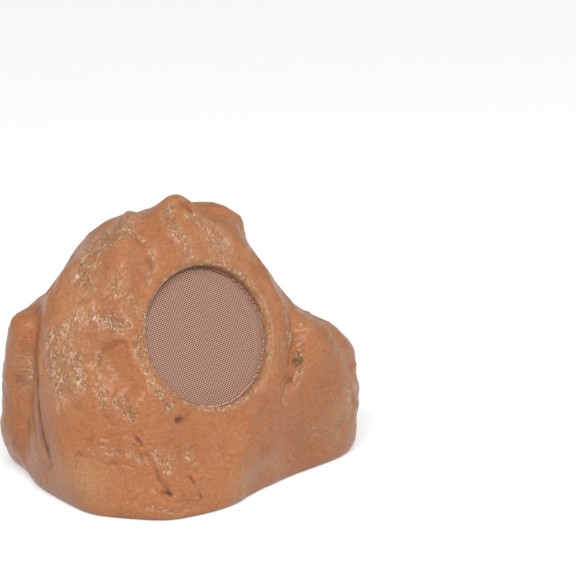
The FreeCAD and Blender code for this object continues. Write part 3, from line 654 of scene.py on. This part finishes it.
class Finish:
    """A procedural finish while it is being built."""

    def __init__(self, name, **surface):
        self.material = bpy.data.materials.new(name)
        self.material.use_nodes = True
        self.tree = self.material.node_tree
        self.tree.nodes.clear()
        output = self.add("ShaderNodeOutputMaterial")
        self.shader = self.add("ShaderNodeBsdfPrincipled", **surface)
        self.link(self.shader.outputs[0], output.inputs["Surface"])
        self.place = self.add("ShaderNodeTexCoord").outputs["Object"]

    def add(self, kind, **sockets):
        node = self.tree.nodes.new(kind)
        for name, value in sockets.items():
            node.inputs[name.replace("_", " ")].default_value = value
        return node

    def link(self, source, target):
        self.tree.links.new(source, target)

    def feed(self, source, target):
        if isinstance(source, bpy.types.NodeSocket):
            self.link(source, target)
        else:
            target.default_value = source

    def noise(
        self, scale, detail=3.0, roughness=0.55, stretch=None, distortion=0.0, kind="FBM"
    ):
        node = self.add(
            "ShaderNodeTexNoise",
            Scale=scale, Detail=detail, Roughness=roughness, Distortion=distortion,
        )
        node.noise_type = kind
        place = self.place
        if stretch:
            mapping = self.add("ShaderNodeMapping", Scale=stretch)
            self.link(self.place, mapping.inputs["Vector"])
            place = mapping.outputs["Vector"]
        self.link(place, node.inputs["Vector"])
        return node.outputs["Fac"]

    def spread(self, source, low, high, start=0.0, end=1.0):
        node = self.add(
            "ShaderNodeMapRange", From_Min=low, From_Max=high, To_Min=start, To_Max=end
        )
        self.link(source, node.inputs["Value"])
        return node.outputs["Result"]

    def attribute(self, name):
        node = self.add("ShaderNodeAttribute")
        node.attribute_name = name
        return node.outputs["Fac"]

    def joined(self, operation, one, other):
        node = self.add("ShaderNodeMath")
        node.operation = operation
        self.feed(one, node.inputs[0])
        self.feed(other, node.inputs[1])
        return node.outputs[0]

    def times(self, one, other):
        return self.joined("MULTIPLY", one, other)

    def plus(self, one, other):
        return self.joined("ADD", one, other)

    def mix(self, share, first, second):
        node = self.add("ShaderNodeMix")
        node.data_type = "RGBA"
        self.feed(share, node.inputs[0])
        self.feed(first, node.inputs[6])
        self.feed(second, node.inputs[7])
        return node.outputs[2]

    def colour(self, source):
        self.link(source, self.shader.inputs["Base Color"])

    def rough(self, source, low, high):
        gloss = self.spread(source, 0.3, 0.7, low, high)
        self.link(gloss, self.shader.inputs["Roughness"])

    def bump(self, height, distance):
        node = self.add("ShaderNodeBump", Distance=distance, Strength=1.0)
        self.link(height, node.inputs["Height"])
        self.link(node.outputs["Normal"], self.shader.inputs["Normal"])


def mottled(name, light, dark, gloss, grain, depth, metal):
    """A plain finish: two close tones in soft clouds, uneven gloss and a fine grain."""
    finish = Finish(name, Metallic=metal)
    clouds = finish.spread(finish.noise(grain / 12, 4.0), 0.3, 0.7)
    finish.colour(finish.mix(clouds, paint(*dark), paint(*light)))
    fine = finish.noise(grain)
    finish.rough(fine, *gloss)
    finish.bump(fine, depth)
    return finish.material


class RockSizes(bpy.types.PropertyGroup):
    columns: bpy.props.IntProperty(
        name="Columns", description="Points round the grille opening and the foot",
        default=440, min=48,
    )
    rows: bpy.props.IntProperty(
        name="Rows", description="Points from the lip to the foot", default=176, min=24
    )
    swell: bpy.props.FloatProperty(
        name="Swell", description="Height of the broad unevenness, in mm", default=1.1, min=0
    )
    wrinkle: bpy.props.FloatProperty(
        name="Wrinkle", description="Height of the folds in scuffed patches, in mm",
        default=0.8, min=0,
    )
    crumple: bpy.props.FloatProperty(
        name="Crumple", description="Height of the small folds that lie everywhere, in mm",
        default=0.8, min=0,
    )
    relief: bpy.props.FloatProperty(
        name="Relief", description="Share of the drawn ridges and grooves that is carved",
        default=1.0, min=0,
    )


class GrilleSizes(bpy.types.PropertyGroup):
    pitch: bpy.props.FloatProperty(
        name="Pitch", description="Distance between neighbouring holes, in mm",
        default=2.04, min=1.2,
    )
    hole: bpy.props.FloatProperty(
        name="Hole", description="Width of a hole, in mm", default=1.5, min=0.3
    )


TONE = {"size": 4, "subtype": "COLOR"}


class SpeakerColours(bpy.types.PropertyGroup):
    rock: bpy.props.FloatVectorProperty(
        name="Rock", description="Main tone of the coating", default=paint(184, 115, 63), **TONE
    )
    # Also the tone of the painted shade in the specks between the glints.
    rock_dark: bpy.props.FloatVectorProperty(
        name="Rock shade", description="Deeper tone in clouds and pits",
        default=paint(152, 88, 46), **TONE,
    )
    rock_pale: bpy.props.FloatVectorProperty(
        name="Rock wash", description="Greyed tone of worn washes",
        default=paint(186, 146, 106), **TONE,
    )
    # Paler tone of scuffed places, partly a painted sheen of the glossy wrinkled patches.
    rock_wear_and_sheen: bpy.props.FloatVectorProperty(
        name="Rock worn", description="Tone of scuffed places",
        default=paint(208, 146, 98), **TONE,
    )
    # Painted highlight: a pale speckle that stands in for glints on scuffed places.
    glint: bpy.props.FloatVectorProperty(
        name="Rock glint", description="Pale speckle of scuffed places",
        default=paint(246, 226, 198), **TONE,
    )
    grille: bpy.props.FloatVectorProperty(
        name="Grille", description="Paint of the perforated sheet",
        default=paint(232, 182, 156), **TONE,
    )


class StudioSettings(bpy.types.PropertyGroup):
    lens: bpy.props.FloatProperty(
        name="Lens", description="Focal length of the camera, in mm", default=600.0, min=20
    )
    key: bpy.props.FloatProperty(
        name="Key lamp", description="Power of the main lamp, in watts", default=62.0, min=0
    )
    fill: bpy.props.FloatProperty(
        name="Fill lamp", description="Power of the side lamp, in watts", default=12.0, min=0
    )
    sky: bpy.props.FloatProperty(
        name="Sky", description="Strength of the even light all round", default=0.5, min=0
    )
    floor_width: bpy.props.FloatProperty(
        name="Floor width", description="Width of the floor", default=60.0, min=1, unit="LENGTH"
    )


def opening_rows(angle):
    """Rows round the grille opening: its stepped wall, its rounded lip and the face beside it."""
    rows = [on_face(radius, angle, -depth) for radius, depth in WELL_RINGS]
    rim = lip_height(FACE_RINGS[0], angle)
    for out, down in LIP_ROUNDING:
        rows.append(on_face(OPENING_RADIUS + out, angle, rim - down))
    for radius in FACE_RINGS:
        rows.append(on_face(radius, angle, lip_height(radius, angle)))
    return rows


def foot_turns(start):
    """The compass turns where columns that run straight out from the lip reach the foot."""
    around = np.linspace(-np.pi, np.pi, FOOT_SAMPLES, endpoint=False)
    foot = flattened(outline(0.0, around, 0.0) - CORE)
    middle = start.mean(axis=0)
    want = np.unwrap(np.arctan2(*(start - middle).T[::-1]))
    have = np.unwrap(np.arctan2(*(foot - middle).T[::-1]))
    turns = np.concatenate([around - 2 * np.pi, around, around + 2 * np.pi])
    ways = np.concatenate([have - 2 * np.pi, have, have + 2 * np.pi])
    return np.interp(want, ways, turns)


def rows_between(start, end, shares, field=skin_depth, level=0.0):
    """Rows on a level of the field, at shares of the way between two flattened rows."""
    spots = start + shares[:, None, None] * (end - start)
    ways = unflattened(spots)
    return reach(field, level, CORE, ways.reshape(-1, 3)).reshape(ways.shape)


def even_shares(start, end, count):
    """The shares that put rows at even steps of the mean length run over the rock."""
    coarse = np.linspace(0, 1, COARSE_ROWS)
    steps = np.diff(rows_between(start, end, coarse), axis=0)
    runs = norm(steps, axis=-1).mean(axis=1)
    length = np.concatenate([[0], np.cumsum(runs)])
    return np.interp(np.linspace(0, length[-1], count), length, coarse)[1:-1]


def under_foot(foot, turn):
    """Rows of the steps under the foot, each held inside the rim."""
    middle = np.array(CORE[:2])
    widest = norm(foot[:, :2] - middle, axis=1) - FOOT_RIM
    rows = []
    for inset, height in FOOT_STEPS:
        edge = outline(-inset, turn, OUTLINE_HEIGHT)
        away = edge[:, :2] - middle
        far = norm(away, axis=1)
        held = np.minimum(1, (widest - inset + PLATE_INSET) / far)
        edge[:, :2] = middle + away * held[:, None]
        edge[:, 2] = height
        rows.append(edge)
    return rows


def rock_form(sizes):
    """Grid points of the closed rock, row by row, and which of the rows carry relief.

    The rows run from the grille's baffle out over the lip, over the rock, under
    its foot and up its inner wall. Round the opening they are polar about its
    axis. Beyond it each column runs straight, on a plane map of the ways from
    the core, from the lip's edge to the foot's outline."""
    angle = np.linspace(0, 2 * np.pi, sizes.columns, endpoint=False)
    rows = opening_rows(angle)
    start = flattened(rows[-1] - CORE)
    turn = foot_turns(start)
    foot = outline(0.0, turn, 0.0)
    end = flattened(foot - CORE)
    rows.extend(rows_between(start, end, even_shares(start, end, sizes.rows)))
    carved = slice(len(WELL_RINGS) + len(LIP_ROUNDING), len(rows))
    rows.append(foot)
    rows.extend(under_foot(foot, turn))
    flange = rows[-1]
    mouth = flattened(rows[0] - CORE)
    shares = np.linspace(0, 1, INNER_ROWS + 2)[1:-1]
    wall = rows_between(flattened(flange - CORE), mouth, shares, rock_depth, -WALL)
    rows.extend(np.where(wall[..., 2:] < FLANGE_TOP, flange, wall))
    return np.array(rows), carved


def gland_seat():
    """The point that the gland's flat is centred on."""
    start = np.array([(GLAND_X, 0.0, GLAND_HEIGHT)])
    hit = reach(skin_depth, 0.0, start, np.array([(0.0, 1.0, 0.0)]))[0]
    return hit - (0.0, SPOT_DEPTH, 0.0)


def relief(points, sizes):
    """Heights in mm to lift each point by, broad and fine, and how scuffed and washed it is.

    Broad swells with soft facets and small crumpled folds lie everywhere, the
    drawn ridges and grooves are bell curves of the distance to their line, and
    the folds grow sharp where the surface is scuffed. On the side that the
    picture doesn't show, scuffs and washes follow noise."""
    ragged = warped(warped(points, *COARSE_RAGS), *FINE_RAGS)
    scuffed = bands(ragged, SCUFFS)
    washed = bands(ragged, WASHES)
    hidden = eased(-(outward(points) @ SIGHT), -0.15, 0.35)
    roam = lattice_noise(ragged, *BACK_SCUFF) + 0.5 * lattice_noise(ragged, *BACK_SCUFF_FINE)
    scuffed = np.maximum(scuffed, hidden * eased(roam, 0.0, 1.0))
    faded = eased(lattice_noise(ragged, *BACK_WASH), 0.1, 0.9)
    washed = np.maximum(washed, hidden * faded * 0.5)
    crumpled = warped(points, *CRUMPLE_BEND)
    facets = layered(crumpled, *SWELL_FACETS, creased)
    height = sizes.swell * (0.8 * layered(points, *SWELL_CLOUDS) + 0.55 * facets)
    uneven = 0.55 + 0.45 * lattice_noise(points, *CRUMPLE_SHARE)
    fine = sizes.crumple * uneven * layered(crumpled, *CRUMPLES, creased)
    slanted = warped(points, *WRINKLE_BEND) * (1.0, 1.0, 0.5)
    fine += sizes.wrinkle * scuffed * layered(slanted, *WRINKLES, creased)
    frayed = warped(points, *STROKE_FRAY)
    uneven = 0.7 + 0.5 * lattice_noise(points, *STROKE_SHARE)
    for width, rise, *line in STROKES:
        away = distance_to_line(frayed, smooth_line(from_picture(line)))
        fine += sizes.relief * rise * uneven * np.exp(-((away / width) ** 2))
    return height, fine, scuffed, washed


def sculpted(points, sizes):
    """The points lifted by their relief, and the marks that the coating reads.

    The relief fades out at the lip, at the ground and at the gland's flat, which is then cut level.
    The lip's rim is marked as scuffed, where the coating paints a paler tone that is partly painted
    sheen, painted glints and specks of painted shade."""
    height, fine, scuffed, washed = relief(points, sizes)
    from_lip = points - LIP
    from_axis = norm(from_lip - np.outer(from_lip @ FACE_OUT, FACE_OUT), axis=1)
    front = points[:, 1] < CORE[1]
    near_lip = np.where(front, eased(from_axis, *LIP_FADE), 1.0)
    near_foot = eased(points[:, 2], *FOOT_FADE)
    seat = gland_seat()
    from_gland = np.hypot(points[:, 0] - seat[0], points[:, 2] - seat[2])
    from_gland = np.where(points[:, 1] > 0, from_gland, REACH_LIMIT)
    near_gland = eased(from_gland, *GLAND_FADE)
    lift = height * near_lip + fine * (LIP_FINE + (1 - LIP_FINE) * near_lip)
    points = points + (near_foot * near_gland * lift)[:, None] * outward(points)
    on_spot = 1 - eased(from_gland, SPOT_RADIUS, SPOT_RADIUS + SPOT_EDGE)
    points[:, 1] += on_spot * (np.minimum(seat[1], points[:, 1]) - points[:, 1])
    # The rim's scuff gives it the coating's painted glints and a paler tone that is partly painted
    # sheen.
    rim_wear_and_sheen = np.where(front, 0.85 + 0.3 * lattice_noise(points, *RIM_WEAR), 0.0)
    scuffed = np.maximum(scuffed, (1 - eased(from_axis, *RIM_SCUFF)) * rim_wear_and_sheen)
    return points, {"scuff_and_sheen": scuffed, "wash": washed, "relief": fine}


def boxed(points):
    """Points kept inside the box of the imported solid."""
    low, high = (np.array(corner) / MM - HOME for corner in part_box("rock_shell"))
    return np.clip(points, low + BOX_GAP, high - BOX_GAP)


class ROCKSPEAKER_OT_rock(bpy.types.Operator):
    """Sculpt the rock's skin and coat it"""

    bl_idname = "rockspeaker.rock"
    bl_label = "Rock"

    def execute(self, context):
        table, carved = rock_form(context.scene.rock_sizes)
        rows, columns, _ = table.shape
        points, marks = sculpted(table[carved].reshape(-1, 3), context.scene.rock_sizes)
        table[carved] = points.reshape(-1, columns, 3)
        piece = new_piece(
            "rock_skin", boxed(table.reshape(-1, 3)), closed_quads(rows, columns),
            rock_coating(context.scene.speaker_colours), "cabinet", "rock", "rock_shell",
        )
        for name, values in marks.items():
            everywhere = np.full((rows, columns), PLAIN_MARKS[name])
            everywhere[carved] = values.reshape(-1, columns)
            mark(piece, name, everywhere)
        return {"FINISHED"}


def rock_coating(colours):
    """Terracotta coating: clouded tone, painted shade in the grooves and painted highlights on the
    crests, pale washes, and where it is scuffed a paler tone that is partly painted sheen, with a
    crinkled speckle of painted glints and specks of painted shade."""
    finish = Finish("rock_coating", Coat_Weight=0.2, Coat_Roughness=0.14)
    mix, times, plus = finish.mix, finish.times, finish.plus
    spread, noise, attribute = finish.spread, finish.noise, finish.attribute
    shade = colours.rock_dark
    scuff_and_sheen = attribute("scuff_and_sheen")
    wash = attribute("wash")
    carve = attribute("relief")
    clouds = spread(noise(16.0, 5.0), 0.32, 0.68)
    tone = mix(times(clouds, 0.4), colours.rock, shade)
    specks = spread(noise(420.0, 4.0, 0.7), 0.4, 0.75)
    tone = mix(times(specks, 0.35), tone, shade)
    tone = mix(times(wash, 0.7), tone, colours.rock_pale)
    # Painted shade: the grooves of the relief are darkened towards a deep brown.
    groove_shade = spread(carve, -0.35, -2.4, 0.0, 0.8)
    tone = mix(groove_shade, tone, paint(96, 54, 30))
    # Painted highlight: the crests of the relief, and the rows where nothing is carved, are lightened
    # towards a pale tan.
    crest_highlight = spread(carve, 0.45, 2.2, 0.0, 0.3)
    tone = mix(crest_highlight, tone, paint(214, 156, 108))
    worms = noise(330.0, 4.0, 0.6, stretch=(1.0, 1.0, 0.6), distortion=1.8)
    # The scuffed patches: a paler tone that is partly painted sheen, with painted glints and specks
    # of painted shade.
    worn = spread(scuff_and_sheen, 0.12, 0.7)
    thick = spread(noise(70.0, 4.0, distortion=1.0), 0.4, 0.6, 0.25, 1.0)
    # Painted highlight: a pale glint speckle over the scuffed patches.
    glint = times(times(spread(worms, 0.5, 0.66), worn), thick)
    # Painted shade: dark specks between the glints, as in the pits of the relief.
    pit_shade = times(spread(worms, 0.46, 0.34), worn)
    tone = mix(times(worn, 0.35), tone, colours.rock_wear_and_sheen)
    tone = mix(times(glint, 0.95), tone, colours.glint)
    finish.colour(mix(times(pit_shade, 0.6), tone, shade))
    fine = noise(260.0, 6.0, 0.62, distortion=0.6)
    finish.rough(fine, 0.3, 0.48)
    ridged = noise(52.0, 5.0, distortion=0.5, kind="RIDGED_MULTIFRACTAL")
    heights = plus(times(fine, 1.3), times(times(worms, scuff_and_sheen), 2.0))
    finish.bump(plus(heights, times(ridged, 0.8)), 0.002)
    return finish.material


class ROCKSPEAKER_OT_grille(bpy.types.Operator):
    """Stamp the grille's fine holes"""

    bl_idname = "rockspeaker.grille"
    bl_label = "Grille"

    def execute(self, context):
        sizes = context.scene.grille_sizes
        points, faces, hole_edge_shade = perforated(sizes.pitch, sizes.hole / 2)
        finish = grille_paint(context.scene.speaker_colours)
        piece = new_piece(
            "grille_sheet", points, faces, finish, "cabinet", "mesh", "grille_mesh"
        )
        flat = np.zeros(len(piece.data.polygons), dtype=bool)
        piece.data.polygons.foreach_set("use_smooth", flat)
        mark(piece, "hole_edge_shade", hole_edge_shade)
        return {"FINISHED"}


def drawn_in(spots, edge):
    """Spots of a plane, those past the edge drawn in onto it."""
    far = norm(spots, axis=-1, keepdims=True)
    return spots * np.minimum(1, edge / np.maximum(far, TINY))


def perforated(pitch, hole):
    """A round sheet with holes on a lattice of equal triangles, and a painted shade for each point:
    darkest at a hole's edge, none at the cell corners, and even over the blind cells at the rim.

    Each hole owns a six-sided cell; its flat faces lie between the cell's
    corners and the hole's, and cells past the rim are drawn in onto it."""
    edge = OPENING_RADIUS - SHEET_GAP
    count = int(edge / pitch * 1.3)
    across, up = np.meshgrid(np.arange(-count, count + 1), np.arange(-count, count + 1))
    centres = [pitch * across * math.sqrt(3) / 2, pitch * (up + across / 2)]
    centres = np.stack(centres, axis=-1).reshape(-1, 2)
    centres = centres[norm(centres, axis=1) < edge + pitch * CELLS_PAST]
    is_open = norm(centres, axis=1) < edge - pitch * BLIND_RIM
    turns = np.radians(np.arange(6) * 60.0)
    ring = np.stack([np.cos(turns), np.sin(turns)], axis=-1)
    cells = centres[:, None] + ring * pitch / math.sqrt(3)
    holes = centres[:, None] + ring * np.where(is_open, hole, 0.0)[:, None, None]
    flat = drawn_in(np.concatenate([cells, holes], axis=1), edge).reshape(-1, 2)
    sides = [-GRILLE_DEPTH, -GRILLE_DEPTH - GRILLE_SHEET]
    spots = np.concatenate([np.c_[flat, np.full(len(flat), side)] for side in sides])
    unique, index = np.unique(spots.round(3), axis=0, return_inverse=True)
    index = index.ravel()
    here = np.arange(len(centres))[:, None] * 12 + np.arange(6)
    there = np.arange(len(centres))[:, None] * 12 + (np.arange(6) + 1) % 6
    upper = np.stack([here, there, there + 6, here + 6], -1).reshape(-1, 4)
    lower = upper[:, ::-1] + len(flat)
    walls = [here + 6, there + 6, there + 6 + len(flat), here + 6 + len(flat)]
    faces = index[np.concatenate([upper, lower, np.stack(walls, -1).reshape(-1, 4)])]
    # Painted shade: 1 at each hole's edge, 0 at the cell corners, and an even darkness over the blind
    # cells.
    shades = np.where(is_open[:, None], (0.0, 1.0), BLIND_SHADE)
    hole_edge_shade = np.zeros(len(unique))
    hole_edge_shade[index] = np.tile(np.repeat(shades, 6, axis=1).ravel(), 2)
    x, y, depth = unique.T
    points = on_face(norm(unique[:, :2], axis=1), np.arctan2(y, x), depth)
    return points, clean(faces), hole_edge_shade


def clean(faces):
    """Faces without their doubled corners, and without those that have no area."""
    used = np.roll(faces, -1, axis=1) != faces
    corners = used.sum(axis=1)
    kept = faces[corners == 4].tolist()
    for face, own in zip(faces[corners == 3], used[corners == 3]):
        kept.append(face[own].tolist())
    return kept


def grille_paint(colours):
    """Satin paint over steel with a fine grain, and painted shade that darkens it round each hole and
    over the blind cells.
    """
    finish = Finish("grille_paint", Metallic=0.1)
    grain = finish.noise(900.0)
    clouds = finish.spread(grain, 0.3, 0.7)
    faded = finish.mix(clouds, colours.grille, paint(222, 172, 146))
    # Painted shade: darker towards each hole's edge and over the blind cells.
    edge = finish.spread(finish.attribute("hole_edge_shade"), 0.3, 0.95)
    finish.colour(finish.mix(edge, faded, paint(66, 38, 34)))
    finish.rough(grain, 0.4, 0.55)
    finish.bump(grain, 0.0001)
    return finish.material


class ROCKSPEAKER_OT_fittings(bpy.types.Operator):
    """Give every solid that keeps its shape its own finish"""

    bl_idname = "rockspeaker.fittings"
    bl_label = "Fittings"

    def execute(self, context):
        for *finish, nodes in PLAIN_FINISHES:
            material = mottled(*finish)
            for node in nodes:
                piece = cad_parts[node]
                if not piece.material_slots:
                    piece.data.materials.append(material)
                for holder in piece.material_slots:
                    holder.material = material
        return {"FINISHED"}


def aimed(way):
    """The turn that points a lamp's or camera's -Z along a way, its top upwards."""
    x, y, z = way / norm(way)
    return (math.acos(-z), 0.0, math.atan2(x, -y) + math.pi)


def lamp(name, place, power):
    """A soft square lamp at a place, aimed at the speaker."""
    light = bpy.data.lights.new(name, "AREA")
    light.shape = "SQUARE"
    light.size = LAMP_SIZE
    light.energy = power
    holder = placed(name, light)
    holder.location = place
    holder.rotation_euler = aimed(np.array(LAMP_AIM) - np.array(place))


def seen_by(tree, *rays):
    """1 for the kinds of rays named, 0 for all others."""
    path = tree.nodes.new("ShaderNodeLightPath")
    either = tree.nodes.new("ShaderNodeMath")
    either.operation = "MAXIMUM"
    for kind, socket in zip(rays, either.inputs):
        tree.links.new(path.outputs[kind], socket)
    return either.outputs[0]


class ROCKSPEAKER_OT_stage(bpy.types.Operator):
    """Lay the floor, hang the lamps and set up the camera"""

    bl_idname = "rockspeaker.stage"
    bl_label = "Stage"

    def execute(self, context):
        studio = context.scene.studio_settings
        self.lay_floor(studio)
        self.fill_sky(context, studio)
        lamp("key_lamp", KEY_PLACE, studio.key)
        lamp("fill_lamp", FILL_PLACE, studio.fill)
        self.set_camera(context, studio)
        context.scene.view_settings.view_transform = "Standard"
        return {"FINISHED"}

    def set_camera(self, context, studio):
        """As far off as makes the picture's width fill the lens."""
        camera = bpy.data.cameras.new("camera")
        camera.lens = studio.lens
        camera.sensor_width = SENSOR_WIDTH
        camera.clip_end = SIGHT_LIMIT
        holder = placed("camera", camera)
        width = PICTURE_SIZE * SIGHT_STEP * MM
        far = width * studio.lens / camera.sensor_width
        holder.location = np.array(PICTURE_AIM) * MM + SIGHT * far
        holder.rotation_euler = aimed(-SIGHT)
        context.scene.camera = holder

    def lay_floor(self, studio):
        """A matt floor that glows a little to the camera, so that it stays pale."""
        half = studio.floor_width / 2
        corners = np.array([(-half, -half), (half, -half), (half, half), (-half, half)])
        mesh = bpy.data.meshes.new("floor")
        mesh.from_pydata(np.c_[corners, np.full(4, -FLOOR_DROP)], [], [(0, 1, 2, 3)])
        floor = placed("floor", mesh)
        material = bpy.data.materials.new("pale_floor")
        material.use_nodes = True
        tree = material.node_tree
        new, link = tree.nodes.new, tree.links.new
        tree.nodes.clear()
        output = new("ShaderNodeOutputMaterial")
        matt = new("ShaderNodeBsdfDiffuse")
        matt.inputs["Color"].default_value = (FLOOR_TONE, FLOOR_TONE, FLOOR_TONE, 1.0)
        glow = new("ShaderNodeEmission")
        strength = new("ShaderNodeMath")
        strength.operation = "MULTIPLY"
        strength.inputs[1].default_value = FLOOR_GLOW
        link(seen_by(tree, "Is Camera Ray", "Is Glossy Ray"), strength.inputs[0])
        link(strength.outputs[0], glow.inputs["Strength"])
        both = new("ShaderNodeAddShader")
        link(matt.outputs[0], both.inputs[0])
        link(glow.outputs[0], both.inputs[1])
        link(both.outputs[0], output.inputs["Surface"])
        mesh.materials.append(material)

    def fill_sky(self, context, studio):
        """Even light all round, behind which the camera sees plain white."""
        world = context.scene.world or bpy.data.worlds.new("sky")
        context.scene.world = world
        world.use_nodes = True
        tree = world.node_tree
        new, link = tree.nodes.new, tree.links.new
        tree.nodes.clear()
        output = new("ShaderNodeOutputWorld")
        choose = new("ShaderNodeMixShader")
        for strength, socket in zip((studio.sky, 1.0), choose.inputs[1:]):
            light = new("ShaderNodeBackground")
            light.inputs["Color"].default_value = (1.0, 1.0, 1.0, 1.0)
            light.inputs["Strength"].default_value = strength
            link(light.outputs[0], socket)
        link(seen_by(tree, "Is Camera Ray", "Is Transmission Ray"), choose.inputs[0])
        link(choose.outputs[0], output.inputs["Surface"])


class ROCKSPEAKER_PT_steps(bpy.types.Panel):
    """The steps that dress the speaker"""

    bl_idname = "ROCKSPEAKER_PT_steps"
    bl_label = "Rock speaker"
    bl_space_type = "VIEW_3D"
    bl_region_type = "UI"
    bl_category = "Rock"

    def draw(self, context):
        for step in STEPS:
            self.layout.operator(step.bl_idname)


STEPS = (ROCKSPEAKER_OT_rock, ROCKSPEAKER_OT_grille, ROCKSPEAKER_OT_fittings, ROCKSPEAKER_OT_stage)
GROUPS = {
    "rock_sizes": RockSizes,
    "grille_sizes": GrilleSizes,
    "speaker_colours": SpeakerColours,
    "studio_settings": StudioSettings,
}


def register():
    for group in GROUPS.values():
        bpy.utils.register_class(group)
    for name, group in GROUPS.items():
        setattr(bpy.types.Scene, name, bpy.props.PointerProperty(type=group))
    for step in (*STEPS, ROCKSPEAKER_PT_steps):
        bpy.utils.register_class(step)


def unregister():
    for step in reversed((*STEPS, ROCKSPEAKER_PT_steps)):
        bpy.utils.unregister_class(step)
    for name, group in reversed(GROUPS.items()):
        delattr(bpy.types.Scene, name)
        bpy.utils.unregister_class(group)


def main():
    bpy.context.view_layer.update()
    register()
    bpy.ops.rockspeaker.rock()
    bpy.ops.rockspeaker.grille()
    bpy.ops.rockspeaker.fittings()
    bpy.ops.rockspeaker.stage()


if __name__ == "__main__":
    main()
